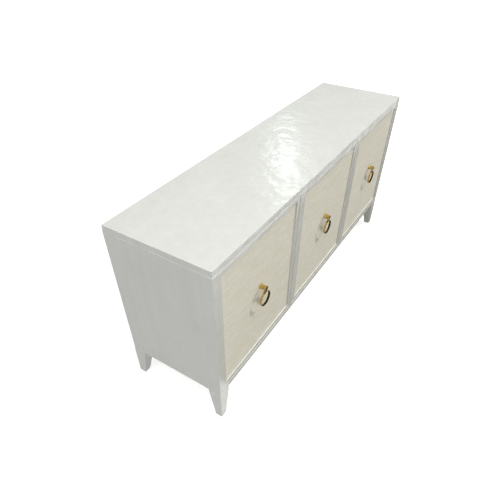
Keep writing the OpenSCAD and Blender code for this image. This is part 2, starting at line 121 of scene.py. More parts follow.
def add_node(
    tree: bpy.types.NodeTree,
    kind: str,
    inputs: dict | None = None,
    stops: list[tuple[float, str]] | None = None,
    **settings: object,
) -> bpy.types.Node:
    """Adds one node with its settings and links.

    Args:
        tree: The tree that gets the node.
        kind: The node's type without its ShaderNode prefix.
        inputs: For each input, by name or place, a value or the socket that feeds it.
        stops: For a colour ramp, its places and hex colours.
        **settings: The node's own properties.

    Returns:
        The new node.
    """
    node = tree.nodes.new("ShaderNode" + kind)
    for name, value in settings.items():
        setattr(node, name, value)
    for name, value in (inputs or {}).items():
        if isinstance(value, bpy.types.NodeSocket):
            tree.links.new(value, node.inputs[name])
        else:
            node.inputs[name].default_value = value
    if stops:
        elements = node.color_ramp.elements
        while len(elements) < len(stops):
            elements.new(0.5)
        for element, (place, colour) in zip(elements, stops, strict=True):
            element.position = place
            element.color = linear(colour)
    return node


def cells(
    tree: bpy.types.NodeTree, size_mm: tuple[float, float, float]
) -> bpy.types.NodeSocket:
    """Gives object coordinates in which a pattern's cell has a real size.

    Args:
        tree: The tree that gets the nodes.
        size_mm: The cell's size along X, Y and Z.

    Returns:
        The socket with the scaled coordinates.
    """
    place = add_node(tree, "TexCoord")
    scaled = add_node(
        tree,
        "Mapping",
        {"Vector": place.outputs["Object"], "Scale": [1 / (s * MM) for s in size_mm]},
    )
    return scaled.outputs["Vector"]


# ---- Finishes ----


@dataclass(frozen=True)
class Finish:
    """A finish: its name, and how its nodes set a Principled shader."""

    name: str

    def paint(
        self, tree: bpy.types.NodeTree, surface: bpy.types.ShaderNodeBsdfPrincipled
    ) -> None:
        """Sets the shader's sockets.

        Args:
            tree: The material's node tree.
            surface: The Principled shader at its end.
        """
        raise NotImplementedError


def blank_material(name: str) -> bpy.types.Material:
    """Makes a material whose node tree is empty.

    Args:
        name: The material's name.

    Returns:
        The material.
    """
    material = bpy.data.materials.new(name)
    material.use_nodes = True
    material.node_tree.nodes.clear()
    return material


@cache
def material_of(finish: Finish) -> bpy.types.Material:
    """Makes a finish's material once, and gives the same one after that.

    Args:
        finish: The finish to make.

    Returns:
        Its material.
    """
    material = blank_material(finish.name)
    tree = material.node_tree
    surface = add_node(tree, "BsdfPrincipled")
    add_node(tree, "OutputMaterial", {"Surface": surface.outputs["BSDF"]})
    finish.paint(tree, surface)
    return material


@dataclass(frozen=True)
class SprayedLacquer(Finish):
    """Satin pigmented lacquer sprayed on sanded board.

    It gives a smooth white skin with a soft gloss. Long sanding waves bend what it
    mirrors, and faint clouds and upright streaks show where the coats lie thicker.
    """

    pale: str = "#E4E5E0"
    thin: str = "#DDDED9"
    cloud_mm: float = 170
    streak_mm: float = 34
    streak_length_mm: float = 450
    wave_mm: float = 60
    wave_height_mm: float = 3.2
    peel_mm: float = 4
    peel_height_mm: float = 0.01
    roughness: float = 0.18
    ior: float = 1.5

    def paint(
        self, tree: bpy.types.NodeTree, surface: bpy.types.ShaderNodeBsdfPrincipled
    ) -> None:
        """Sets the shader's sockets.

        Args:
            tree: The material's node tree.
            surface: The Principled shader at its end.
        """
        cloud = add_node(
            tree,
            "TexNoise",
            {"Vector": cells(tree, (self.cloud_mm,) * 3), "Scale": 1, "Detail": 4},
        )
        streak = add_node(
            tree,
            "TexNoise",
            {
                "Vector": cells(tree, (self.streak_mm, self.streak_mm, self.streak_length_mm)),
                "Scale": 1,
                "Detail": 3,
            },
        )
        both = add_node(
            tree, "Math", {0: cloud.outputs["Fac"], 1: streak.outputs["Fac"]}, operation="ADD"
        )
        half = add_node(tree, "Math", {0: both.outputs[0], 1: 0.5}, operation="MULTIPLY")
        tone = add_node(
            tree,
            "ValToRGB",
            {"Fac": half.outputs[0]},
            stops=[(0.34, self.thin), (0.66, self.pale)],
        )
        wave = add_node(
            tree,
            "TexNoise",
            {"Vector": cells(tree, (self.wave_mm,) * 3), "Scale": 1, "Detail": 2},
        )
        peel = add_node(
            tree,
            "TexNoise",
            {"Vector": cells(tree, (self.peel_mm,) * 3), "Scale": 1, "Detail": 1},
        )
        waves = add_node(
            tree,
            "Bump",
            {"Height": wave.outputs["Fac"], "Distance": self.wave_height_mm * MM},
        )
        skin = add_node(
            tree,
            "Bump",
            {
                "Height": peel.outputs["Fac"],
                "Distance": self.peel_height_mm * MM,
                "Normal": waves.outputs["Normal"],
            },
        )
        tree.links.new(tone.outputs["Color"], surface.inputs["Base Color"])
        tree.links.new(skin.outputs["Normal"], surface.inputs["Normal"])
        surface.inputs["Roughness"].default_value = self.roughness
        surface.inputs["IOR"].default_value = self.ior


@dataclass(frozen=True)
class PaintedBoard(Finish):
    """Water-based paint rolled on fibreboard, matt, with the roller's fine stipple."""

    pale: str = "#E6E6E1"
    dull: str = "#DDDDD7"
    stipple_mm: float = 2.5
    stipple_height_mm: float = 0.03
    cloud_mm: float = 140
    roughness: float = 0.6

    def paint(
        self, tree: bpy.types.NodeTree, surface: bpy.types.ShaderNodeBsdfPrincipled
    ) -> None:
        """Sets the shader's sockets.

        Args:
            tree: The material's node tree.
            surface: The Principled shader at its end.
        """
        cloud = add_node(
            tree,
            "TexNoise",
            {"Vector": cells(tree, (self.cloud_mm,) * 3), "Scale": 1, "Detail": 5},
        )
        tone = add_node(
            tree,
            "ValToRGB",
            {"Fac": cloud.outputs["Fac"]},
            stops=[(0.35, self.dull), (0.65, self.pale)],
        )
        stipple = add_node(
            tree,
            "TexNoise",
            {"Vector": cells(tree, (self.stipple_mm,) * 3), "Scale": 1, "Detail": 2},
        )
        skin = add_node(
            tree,
            "Bump",
            {"Height": stipple.outputs["Fac"], "Distance": self.stipple_height_mm * MM},
        )
        tree.links.new(tone.outputs["Color"], surface.inputs["Base Color"])
        tree.links.new(skin.outputs["Normal"], surface.inputs["Normal"])
        surface.inputs["Roughness"].default_value = self.roughness


@dataclass(frozen=True)
class WovenRaffia(Finish):
    """Bleached raffia woven across the door and glued down.

    Split palm leaf is cream and slightly silky. Each strand has its own tone from straw
    to near white, and short brown flecks are bits of leaf edge. The strands are drawn
    coarser than real ones, so that they show from across a room.
    """

    straw: str = "#DAD5BD"
    cream: str = "#E9E4D3"
    bleached: str = "#F3F0E5"
    fleck: str = "#B8AA84"
    strand_mm: float = 5
    strand_length_mm: float = 85
    fibre_mm: float = 2.8
    fibre_length_mm: float = 12
    fleck_mm: float = 3
    fleck_length_mm: float = 11
    fleck_start: float = 0.78
    fleck_full: float = 0.84
    fleck_strength: float = 0.8
    depth_mm: float = 100
    fibre_share: float = 0.5
    fibre_height_mm: float = 0.12
    roughness: float = 0.72
    sheen: float = 0.1
    sheen_roughness: float = 0.5

    def paint(
        self, tree: bpy.types.NodeTree, surface: bpy.types.ShaderNodeBsdfPrincipled
    ) -> None:
        """Sets the shader's sockets.

        Args:
            tree: The material's node tree.
            surface: The Principled shader at its end.
        """
        strand = add_node(
            tree,
            "TexNoise",
            {
                "Vector": cells(tree, (self.strand_length_mm, self.depth_mm, self.strand_mm)),
                "Scale": 1,
                "Detail": 2,
            },
        )
        fibre = add_node(
            tree,
            "TexNoise",
            {
                "Vector": cells(tree, (self.fibre_length_mm, self.depth_mm, self.fibre_mm)),
                "Scale": 1,
                "Detail": 3,
            },
        )
        mixed = add_node(
            tree,
            "Mix",
            {0: self.fibre_share, 2: strand.outputs["Fac"], 3: fibre.outputs["Fac"]},
            data_type="FLOAT",
        )
        tone = add_node(
            tree,
            "ValToRGB",
            {"Fac": mixed.outputs[0]},
            stops=[(0.32, self.straw), (0.5, self.cream), (0.68, self.bleached)],
        )
        speck = add_node(
            tree,
            "TexNoise",
            {
                "Vector": cells(tree, (self.fleck_length_mm, self.depth_mm, self.fleck_mm)),
                "Scale": 1,
                "Detail": 0,
            },
        )
        flecks = add_node(
            tree,
            "MapRange",
            {
                "Value": speck.outputs["Fac"],
                1: self.fleck_start,
                2: self.fleck_full,
                3: 0,
                4: self.fleck_strength,
            },
        )
        flecked = add_node(
            tree,
            "Mix",
            {0: flecks.outputs[0], 6: tone.outputs["Color"], 7: linear(self.fleck)},
            data_type="RGBA",
        )
        relief = add_node(
            tree,
            "Bump",
            {"Height": mixed.outputs[0], "Distance": self.fibre_height_mm * MM},
        )
        tree.links.new(flecked.outputs[2], surface.inputs["Base Color"])
        tree.links.new(relief.outputs["Normal"], surface.inputs["Normal"])
        surface.inputs["Roughness"].default_value = self.roughness
        surface.inputs["Sheen Weight"].default_value = self.sheen
        surface.inputs["Sheen Roughness"].default_value = self.sheen_roughness


@dataclass(frozen=True)
class WorkedMetal(Finish):
    """Metal with the fine marks of turning, polishing or plating, and a little tarnish."""

    bright: str = "#D8BC76"
    tarnished: str = "#B89A52"
    tarnish_mm: float = 9
    grain_mm: float = 0.6
    grain_height_mm: float = 0.006
    smooth: float = 0.16
    rough: float = 0.3
    haze_start: float = 0.3
    haze_end: float = 0.7

    def paint(
        self, tree: bpy.types.NodeTree, surface: bpy.types.ShaderNodeBsdfPrincipled
    ) -> None:
        """Sets the shader's sockets.

        Args:
            tree: The material's node tree.
            surface: The Principled shader at its end.
        """
        tarnish = add_node(
            tree,
            "TexNoise",
            {"Vector": cells(tree, (self.tarnish_mm,) * 3), "Scale": 1, "Detail": 4},
        )
        tone = add_node(
            tree,
            "ValToRGB",
            {"Fac": tarnish.outputs["Fac"]},
            stops=[(0.35, self.tarnished), (0.62, self.bright)],
        )
        haze = add_node(
            tree,
            "MapRange",
            {
                "Value": tarnish.outputs["Fac"],
                1: self.haze_start,
                2: self.haze_end,
                3: self.rough,
                4: self.smooth,
            },
        )
        grain = add_node(
            tree,
            "TexNoise",
            {"Vector": cells(tree, (self.grain_mm,) * 3), "Scale": 1, "Detail": 2},
        )
        marks = add_node(
            tree,
            "Bump",
            {"Height": grain.outputs["Fac"], "Distance": self.grain_height_mm * MM},
        )
        tree.links.new(tone.outputs["Color"], surface.inputs["Base Color"])
        tree.links.new(haze.outputs[0], surface.inputs["Roughness"])
        tree.links.new(marks.outputs["Normal"], surface.inputs["Normal"])
        surface.inputs["Metallic"].default_value = 1


@dataclass(frozen=True)
class Moulded(Finish):
    """Moulded or sintered stock with a fine even grain and slightly clouded colour."""

    pale: str = "#E4E4DF"
    dull: str = "#D8D8D2"
    cloud_mm: float = 12
    grain_mm: float = 0.7
    grain_height_mm: float = 0.02
    roughness: float = 0.45

    def paint(
        self, tree: bpy.types.NodeTree, surface: bpy.types.ShaderNodeBsdfPrincipled
    ) -> None:
        """Sets the shader's sockets.

        Args:
            tree: The material's node tree.
            surface: The Principled shader at its end.
        """
        cloud = add_node(
            tree,
            "TexNoise",
            {"Vector": cells(tree, (self.cloud_mm,) * 3), "Scale": 1, "Detail": 3},
        )
        tone = add_node(
            tree,
            "ValToRGB",
            {"Fac": cloud.outputs["Fac"]},
            stops=[(0.35, self.dull), (0.65, self.pale)],
        )
        grain = add_node(
            tree,
            "TexNoise",
            {"Vector": cells(tree, (self.grain_mm,) * 3), "Scale": 1, "Detail": 1},
        )
        skin = add_node(
            tree,
            "Bump",
            {"Height": grain.outputs["Fac"], "Distance": self.grain_height_mm * MM},
        )
        tree.links.new(tone.outputs["Color"], surface.inputs["Base Color"])
        tree.links.new(skin.outputs["Normal"], surface.inputs["Normal"])
        surface.inputs["Roughness"].default_value = self.roughness


@dataclass(frozen=True)
class TurnedBeech(Finish):
    """Beech dowel: pale pinkish wood with long fine grain and small dark flecks."""

    early: str = "#D9B68A"
    late: str = "#BF9160"
    grain_mm: float = 1.2
    grain_length_mm: float = 25
    roughness: float = 0.55

    def paint(
        self, tree: bpy.types.NodeTree, surface: bpy.types.ShaderNodeBsdfPrincipled
    ) -> None:
        """Sets the shader's sockets.

        Args:
            tree: The material's node tree.
            surface: The Principled shader at its end.
        """
        grain = add_node(
            tree,
            "TexNoise",
            {
                "Vector": cells(tree, (self.grain_mm, self.grain_mm, self.grain_length_mm)),
                "Scale": 1,
                "Detail": 4,
            },
        )
        tone = add_node(
            tree,
            "ValToRGB",
            {"Fac": grain.outputs["Fac"]},
            stops=[(0.35, self.late), (0.6, self.early)],
        )
        tree.links.new(tone.outputs["Color"], surface.inputs["Base Color"])
        surface.inputs["Roughness"].default_value = self.roughness


# A whiter lacquer for narrow faces that look upward: a painted highlight where light from above
# falls on the ledges.
LEDGE_HIGHLIGHT_LACQUER = SprayedLacquer("painted_highlight_lacquer", pale="#FBFBF8", thin="#F6F6F2")
# A near-black brass for the post's front face and the ring's front and inner faces: a painted
# dark reflection.
DARK_REFLECTION_BRASS = WorkedMetal(
    "painted_dark_reflection_brass", bright="#574522", tarnished="#20160A", smooth=0.3, rough=0.42
)
FINISHES: dict[Slot, Finish] = {
    Slot.LACQUER: SprayedLacquer("sprayed_satin_lacquer"),
    Slot.INSIDE: PaintedBoard("rolled_matt_paint"),
    Slot.BACK: PaintedBoard("primed_fibreboard", pale="#E1DFD8", dull="#D6D3CA"),
    Slot.RAFFIA: WovenRaffia("woven_bleached_raffia"),
    Slot.BRASS: WorkedMetal("satin_antique_brass"),
    Slot.STEEL: WorkedMetal(
        "zinc_plated_steel", bright="#C6C8CA", tarnished="#AEB0B1", smooth=0.28, rough=0.42
    ),
    Slot.BEECH: TurnedBeech("turned_beech"),
    Slot.PLASTIC: Moulded("moulded_white_abs"),
    Slot.MAGNET: Moulded("sintered_ferrite", pale="#3A3A3C", dull="#29292B", roughness=0.5),
    Slot.WASHER: Moulded("turned_natural_nylon", pale="#E2DDCD", dull="#D3CDBA"),
    Slot.GLIDE: Moulded("grey_nylon_glide", pale="#5B5A58", dull="#484746", roughness=0.6),
}


# ---- Making pieces ----


def soften(shape: bmesh.types.BMesh) -> None:
    """Shades a shape smooth, apart from its sharp edges.

    Args:
        shape: The shape to shade.
    """
    for face in shape.faces:
        face.smooth = True
    for edge in shape.edges:
        edge.smooth = edge.is_manifold and edge.calc_face_angle() < math.radians(CREASE_DEG)


def finish_piece(
    name: str, shape: bmesh.types.BMesh, body: str, slot: Slot, nodes: Iterable[str]
) -> bpy.types.Object:
    """Makes a finished piece of a shape that is already in its place.

    Args:
        name: The piece's name.
        shape: Its shape, which is used up.
        body: The CAD body that it rides on.
        slot: The record's slot that its finish comes from.
        nodes: The CAD nodes that it stands for.

    Returns:
        The piece.
    """
    soften(shape)
    mesh = bpy.data.meshes.new(name)
    shape.to_mesh(mesh)
    shape.free()
    piece = bpy.data.objects.new(name, mesh)
    bpy.context.scene.collection.objects.link(piece)
    mesh.materials.append(material_of(FINISHES[slot]))
    piece.modifiers.new("even_shading", "WEIGHTED_NORMAL").keep_sharp = True
    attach(piece, body)
    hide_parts(*nodes)
    log.info("%s: %d faces on %s", name, len(mesh.polygons), body)
    return piece


def coat(
    piece: bpy.types.Object,
    finish: Finish,
    picked: Callable[[bpy.types.MeshPolygon], bool],
) -> None:
    """Gives some of a piece's faces a second finish; here that is always painted light or shade.

    Args:
        piece: The piece.
        finish: The second finish.
        picked: Tells which faces get it.
    """
    piece.data.materials.append(material_of(finish))
    for face in piece.data.polygons:
        if picked(face):
            face.material_index = 1


def paint_ledge_highlights(piece: bpy.types.Object, widest: float = LEDGE_AREA) -> None:
    """Gives narrow faces that look upward a whiter lacquer, a painted highlight of the light from
    above.

    Args:
        piece: The lacquered piece.
        widest: The area in square metres above which a face is no ledge.
    """
    coat(
        piece,
        LEDGE_HIGHLIGHT_LACQUER,
        lambda face: face.normal.z > LEDGE_TILT and face.area < widest,
    )


def merged_copy(node: str) -> bmesh.types.BMesh:
    """Copies a CAD node's shape and joins its loose triangles into whole faces.

    Args:
        node: The CAD node.

    Returns:
        The copy.
    """
    shape = bmesh.new()
    shape.from_mesh(NODES[node].data)
    bmesh.ops.remove_doubles(shape, verts=shape.verts, dist=WELD)
    bmesh.ops.dissolve_limit(
        shape,
        angle_limit=math.radians(FLAT_DEG),
        use_dissolve_boundaries=False,
        verts=shape.verts,
        edges=shape.edges,
        delimit=set(),
    )
    bmesh.ops.recalc_face_normals(shape, faces=shape.faces)
    return shape


def ease(
    shape: bmesh.types.BMesh,
    radius: float,
    shortest: float,
    wanted: Callable[[bmesh.types.BMEdge], bool],
) -> None:
    """Rounds a shape's outer edges.

    Args:
        shape: The shape to ease.
        radius: How far back from the edge the rounding starts, in metres.
        shortest: Edges shorter than this, such as those round holes, stay sharp.
        wanted: Picks among the edges that are long enough.
    """
    shape.normal_update()
    arrises = [
        edge
        for edge in shape.edges
        if edge.is_manifold
        and edge.is_convex
        and edge.calc_length() > shortest
        and edge.calc_face_angle() > math.radians(LEAST_CORNER_DEG)
        and wanted(edge)
    ]
    bmesh.ops.bevel(
        shape,
        geom=arrises,
        offset=radius,
        offset_type="OFFSET",
        affect="EDGES",
        segments=2,
        profile=0.5,
        material=-1,
        clamp_overlap=True,
    )


def is_ledge(edge: bmesh.types.BMEdge) -> bool:
    """Tells whether one of an edge's faces looks straight up."""
    return any(face.normal.z > STRAIGHT for face in edge.link_faces)


def is_underside(edge: bmesh.types.BMEdge) -> bool:
    """Tells whether one of an edge's faces looks straight down."""
    return any(face.normal.z < -STRAIGHT for face in edge.link_faces)


def ease_board(shape: bmesh.types.BMesh, arris: float, ledge_arris: float) -> None:
    """Eases a board's edges, with its upper ones kept sharper.

    Args:
        shape: The board's shape.
        arris: How much its other edges are eased.
        ledge_arris: How much the edges of its upward faces are eased.
    """
    ease(shape, arris, SHORTEST_ARRIS, lambda edge: not is_ledge(edge))
    ease(shape, ledge_arris, SHORTEST_ARRIS, is_ledge)


def dress_node(node: str, slot: Slot) -> None:
    """Gives a CAD node that stays the finish of its slot.

    Args:
        node: The CAD node.
        slot: The record's slot that its finish comes from.
    """
    NODES[node].data.materials.clear()
    NODES[node].data.materials.append(material_of(FINISHES[slot]))
    log.info("%s: dressed in %s", node, FINISHES[slot].name)


# ---- Case ----


@dataclass
class Case:
    """The case with its shelves, back and legs, all lacquered or painted board."""

    arris: float = 0.8 * MM
    ledge_arris: float = 0.4 * MM
    shelf_arris: float = 1.0 * MM
    back_arris: float = 0.3 * MM
    bottom_area: float = 1.0
    body: str = "case"
    boards: tuple[str, ...] = (
        "top_panel",
        "left_side_panel",
        "right_side_panel",
        "bottom_panel",
        "left_divider",
        "right_divider",
    )

    def build(self) -> None:
        """Builds and dresses every board, shelf and leg."""
        for node in self.boards:
            self.add_board(node, self.arris, Slot.LACQUER)
        for bay in Bay:
            self.add_board(f"{bay.value}_shelf", self.shelf_arris, Slot.INSIDE)
        for corner in ("front_left", "front_right", "rear_left", "rear_right"):
            self.add_board(f"{corner}_leg", self.arris, Slot.LACQUER)
        self.add_board("back_panel", self.back_arris, Slot.BACK)

    def add_board(self, node: str, radius: float, slot: Slot) -> None:
        """Adds one board with eased edges and a painted highlight on its ledges.

        The top has only its upper edges eased, and keeps one coat with no painted highlight. The
        bottom panel gets the painted highlight over the whole of its upper face.

        Args:
            node: The CAD node that it stands for.
            radius: How much its edges are eased.
            slot: The slot of its finish.
        """
        shape = merged_copy(node)
        if node == "top_panel":
            ease(shape, radius, SHORTEST_ARRIS, is_ledge)
        else:
            ease_board(shape, radius, self.ledge_arris)
        board = finish_piece(f"{node}_eased", shape, self.body, slot, [node])
        # Lacquered boards other than the top get a painted highlight on their ledges.
        if slot is Slot.LACQUER and node != "top_panel":
            paint_ledge_highlights(board, self.bottom_area if node == "bottom_panel" else LEDGE_AREA)


# ---- Doors ----


@dataclass
class Door:
    """One inset door: its mitred frame, its woven panel and its board.

    Each strand of the weave swells and thins along its length, within the share of the
    strand's depth that the swell values give. The steps keep two strands, and two doors,
    apart in the noise that this is drawn from.
    """

    bay: Bay
    arris: float = 0.7 * MM
    ledge_arris: float = 0.4 * MM
    crown_arris: float = 2.1 * MM
    foot_arris: float = 3.6 * MM
    strand_pitch: float = 3.6 * MM
    strand_depth: float = 0.25 * MM
    points_per_strand: int = 4
    columns: int = 44
    swell_length: float = 60 * MM
    strand_step: float = 3.7
    door_step: float = 31.0
    mean_swell: float = 0.8
    swell_change: float = 0.5
    least_swell: float = 0.2

    @property
    def body(self) -> str:
        """The CAD body that the door's pieces ride on."""
        return f"{self.bay.value}_door"

    def build(self) -> None:
        """Builds the frame and the weave, and dresses the board behind it."""
        for part in ("hinge_stile", "closing_stile", "top_rail", "bottom_rail"):
            node = f"{self.body}_{part}"
            shape = merged_copy(node)
            if part == "top_rail":
                ease(shape, self.crown_arris, SHORTEST_ARRIS, is_ledge)
            if part == "bottom_rail":
                ease(shape, self.foot_arris, SHORTEST_ARRIS, is_underside)
            ease_board(shape, self.arris, self.ledge_arris)
            frame_part = finish_piece(
                f"{node}_eased", shape, self.body, Slot.LACQUER, [node]
            )
            # The frame's ledges and the crowned top edge get a painted highlight.
            paint_ledge_highlights(frame_part)
        self.add_weave()
        dress_node(f"{self.body}_board", Slot.BACK)

    def add_weave(self) -> None:
        """Adds the woven facing: strands across the door that stand up from one cloth."""
        node = f"{self.body}_weave"
        low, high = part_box(node)
        size = high - low
        rows = round(size.z / self.strand_pitch) * self.points_per_strand
        shape = bmesh.new()
        bmesh.ops.create_grid(
            shape,
            x_segments=self.columns,
            y_segments=rows,
            size=0.5,
            matrix=Matrix.Translation((low + high) / 2)
            @ Matrix.Diagonal((size.x, 1, size.z, 1))
            @ Matrix.Rotation(math.pi / 2, 4, "X"),
        )
        seed = list(Bay).index(self.bay) * self.door_step
        for vert in shape.verts:
            along, up = vert.co.x - low.x, vert.co.z - low.z
            strand = up / self.strand_pitch
            crown = abs(math.sin(math.pi * strand))
            spot = (along / self.swell_length, round(strand) * self.strand_step, seed)
            swell = self.mean_swell + self.swell_change * noise.noise(spot)
            height = crown * max(self.least_swell, min(1, swell))
            vert.co.y = low.y + self.strand_depth * (1 - height)
        rim = [edge for edge in shape.edges if edge.is_boundary]
        back = bmesh.ops.extrude_edge_only(shape, edges=rim)["geom"]
        for item in back:
            if isinstance(item, bmesh.types.BMVert):
                item.co.y = high.y
        bmesh.ops.holes_fill(
            shape,
            edges=[e for e in back if isinstance(e, bmesh.types.BMEdge) and e.is_boundary],
            sides=0,
        )
        bmesh.ops.recalc_face_normals(shape, faces=shape.faces)
        piece = finish_piece(f"{node}_strands", shape, self.body, Slot.RAFFIA, [node])


# ---- Pulls ----


@dataclass
class RingPull:
    """A turned brass post, and a band ring that swings on a pin through its lug."""

    bay: Bay
    base_r: float = 11.5 * MM
    waist_r: float = 10 * MM
    front_r: float = 11 * MM
    waist_out: float = 14 * MM
    rim_r: float = 0.9 * MM
    rim_steps: int = 4
    spool_steps: int = 22
    rim_step: float = 0.02 * MM
    dish_share: float = 0.55
    dish_depth: float = 0.1 * MM
    turns: int = 64
    lug_w: float = 7 * MM
    lug_t: float = 8 * MM
    lug_sides: int = 40
    lug_arris: float = 0.6 * MM
    ring_r: float = 33.5 * MM
    ring_t: float = 3 * MM
    ring_w: float = 9.5 * MM
    ring_edge: float = 0.8 * MM
    ring_edge_steps: int = 4
    ring_steps: int = 120
    end_arris: float = 0.25 * MM
    pin_r: float = 1.2 * MM
    pin_half: float = 4.3 * MM
    pin_sunk: float = 1.0 * MM
    pin_sides: int = 20
    # Faces that look less outward and less backward than these two shares get a painted dark
    # reflection.
    bright_out: float = 0.4
    bright_back: float = 0.5

    @property
    def door(self) -> str:
        """The body of the door that carries the pull."""
        return f"{self.bay.value}_door"

    @property
    def eye(self) -> Vector:
        """Where the ring's pin crosses the lug."""
        name = f"{self.bay.value}_ring_swing"
        return Vector(next(j["pos_m"] for j in frame["joints"] if j["name"] == name))

    def build(self) -> None:
        """Builds the post and the ring."""
        self.add_post()
        self.add_ring()

    def radius_at(self, out: float, length: float) -> float:
        """Gives the post's radius at a distance from the panel.

        Args:
            out: The distance from the panel.
            length: The post's whole length.

        Returns:
            The radius of the spool there.
        """
        if out < self.waist_out:
            share = 1 - out / self.waist_out
            return self.waist_r + (self.base_r - self.waist_r) * share**2
        share = (out - self.waist_out) / (length - self.waist_out)
        return self.waist_r + (self.front_r - self.waist_r) * share**2

    def add_post(self) -> None:
        """Adds the post, turned from one outline, with the lug under it."""
        node = f"{self.bay.value}_pull_post"
        low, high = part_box(node)
        length = high.y - low.y
        axis_z = high.z - max(self.base_r, self.front_r)
        middle = Vector(((low.x + high.x) / 2, high.y, axis_z))
        outline = [(0.0, 0.0), (self.base_r - self.rim_r / 2, 0.0)]
        for i in range(self.spool_steps + 1):
            out = self.rim_r + (length - 2 * self.rim_r) * i / self.spool_steps
            outline.append((self.radius_at(out, length), out))
        for i in range(1, self.rim_steps + 1):
            turn = math.pi / 2 * i / self.rim_steps
            inward = self.rim_r * (1 - math.cos(turn)) + self.rim_step
            outline.append((self.front_r - inward, length - self.rim_r * (1 - math.sin(turn))))
        outline.append((self.front_r * self.dish_share, length - self.dish_depth / 2))
        outline.append((0.0, length - self.dish_depth))
        shape = bmesh.new()
        verts = [shape.verts.new(middle + Vector((r, -out, 0))) for r, out in outline]
        edges = [shape.edges.new(pair) for pair in zip(verts, verts[1:])]
        bmesh.ops.spin(
            shape,
            geom=verts + edges,
            cent=middle,
            axis=(0, 1, 0),
            dvec=(0, 0, 0),
            angle=2 * math.pi,
            steps=self.turns,
            use_merge=True,
            use_duplicate=False,
        )
        bmesh.ops.remove_doubles(shape, verts=shape.verts, dist=WELD)
        self.add_lug(shape, axis_z)
        post = finish_piece(f"{node}_turned", shape, self.door, Slot.BRASS, [node])
        # The post's flat front face gets the near-black brass, a painted dark reflection.
        coat(
            post,
            DARK_REFLECTION_BRASS,
            lambda face: face.normal.y < -STRAIGHT and face.center.z > axis_z - self.front_r,
        )

    def add_lug(self, shape: bmesh.types.BMesh, axis_z: float) -> None:
        """Adds the lug, a plate with a round lower end and soft edges.

        Args:
            shape: The post's shape, which gets the lug.
            axis_z: The height of the post's axis.
        """
        front = self.eye - Vector((0, self.lug_t / 2, 0))
        end = bmesh.ops.create_circle(
            shape,
            cap_ends=True,
            segments=self.lug_sides,
            radius=self.lug_w / 2,
            matrix=Matrix.Translation(front) @ Matrix.Rotation(math.pi / 2, 4, "X"),
        )["verts"]
        upper = [v for v in end if v.co.z > self.eye.z + WELD]
        rise = Vector((0, 0, axis_z - self.waist_r / 2 - self.eye.z))
        bmesh.ops.translate(shape, vec=rise, verts=upper)
        face = end[0].link_faces[0]
        grown = bmesh.ops.extrude_face_region(shape, geom=[face])["geom"]
        back = [item for item in grown if isinstance(item, bmesh.types.BMVert)]
        bmesh.ops.translate(shape, vec=(0, self.lug_t, 0), verts=back)
        bmesh.ops.recalc_face_normals(shape, faces=shape.faces)
        plate = {*end, *back}
        ease(shape, self.lug_arris, 0, lambda edge: plate.issuperset(edge.verts))

    def add_ring(self) -> None:
        """Adds the ring: a bent band with soft edges, and the pin that joins its ends.

        Its outer face and its back keep the plain brass, and the other faces get a near-black
        brass, a painted dark reflection.
        """
        drop = math.sqrt(self.ring_r**2 - self.pin_half**2)
        start = math.asin(self.pin_half / self.ring_r)
        centre = self.eye - Vector((0, 0, drop))
        shape = bmesh.new()
        end = bmesh.ops.create_grid(
            shape,
            x_segments=1,
            y_segments=1,
            size=0.5,
            matrix=Matrix.Translation(centre)
            @ Matrix.Rotation(start, 4, "Y")
            @ Matrix.Translation((0, 0, self.ring_r))
            @ Matrix.Rotation(math.pi / 2, 4, "Y")
            @ Matrix.Diagonal((self.ring_t, self.ring_w, 1, 1)),
        )["verts"]
        bmesh.ops.bevel(
            shape,
            geom=end,
            offset=self.ring_edge,
            segments=self.ring_edge_steps,
            profile=0.5,
            affect="VERTICES",
            material=-1,
        )
        bent = bmesh.ops.spin(
            shape,
            geom=[*shape.verts, *shape.edges],
            cent=centre,
            axis=(0, 1, 0),
            dvec=(0, 0, 0),
            angle=2 * math.pi - 2 * start,
            steps=self.ring_steps,
            use_merge=False,
            use_duplicate=False,
        )["geom_last"]
        rim = [item for item in bent if isinstance(item, bmesh.types.BMEdge)]
        bmesh.ops.contextual_create(shape, geom=rim)
        bmesh.ops.recalc_face_normals(shape, faces=shape.faces)
        ease(
            shape,
            self.end_arris,
            0,
            lambda edge: any(len(face.verts) > 4 for face in edge.link_faces),
        )
        bmesh.ops.create_cone(
            shape,
            cap_ends=True,
            segments=self.pin_sides,
            radius1=self.pin_r,
            radius2=self.pin_r,
            depth=2 * (self.pin_half + self.pin_sunk),
            matrix=Matrix.Translation(self.eye) @ Matrix.Rotation(math.pi / 2, 4, "Y"),
        )
        node = f"{self.bay.value}_pull_ring"
        band = finish_piece(
            f"{node}_band", shape, f"{self.bay.value}_ring", Slot.BRASS, [node]
        )

        # Faces that look neither outward nor to the back get a near-black brass, a painted dark
        # reflection.
        def gets_dark_reflection(face: bpy.types.MeshPolygon) -> bool:
            """Tells whether a face looks neither outward nor to the back."""
            outward = face.normal.dot((face.center - centre).normalized())
            return outward < self.bright_out and face.normal.y < self.bright_back

        coat(band, DARK_REFLECTION_BRASS, gets_dark_reflection)


# ---- Fittings ----


@dataclass
class Fittings:
    """Hinges, catches, shelf pins, dowels, bolts, glides and screws."""

    case_nodes: dict[str, Slot] = field(
        default_factory=lambda: {
            "leg_glides": Slot.GLIDE,
            "leg_bolts": Slot.STEEL,
            "shelf_pins": Slot.STEEL,
            "case_dowels": Slot.BEECH,
            "case_screws": Slot.STEEL,
            "catch_housings": Slot.PLASTIC,
            "catch_magnets": Slot.MAGNET,
            "case_hinge_leaves": Slot.STEEL,
            "hinge_washers": Slot.WASHER,
        }
    )
    door_parts: tuple[str, ...] = ("door_hinge_leaves", "door_screws", "door_strike", "pull_bolt")

    def build(self) -> None:
        """Dresses the fittings of the case and of each door."""
        for node, slot in self.case_nodes.items():
            dress_node(node, slot)
        for bay in Bay:
            for part in self.door_parts:
                dress_node(f"{bay.value}_{part}", Slot.STEEL)


# ---- Studio ----


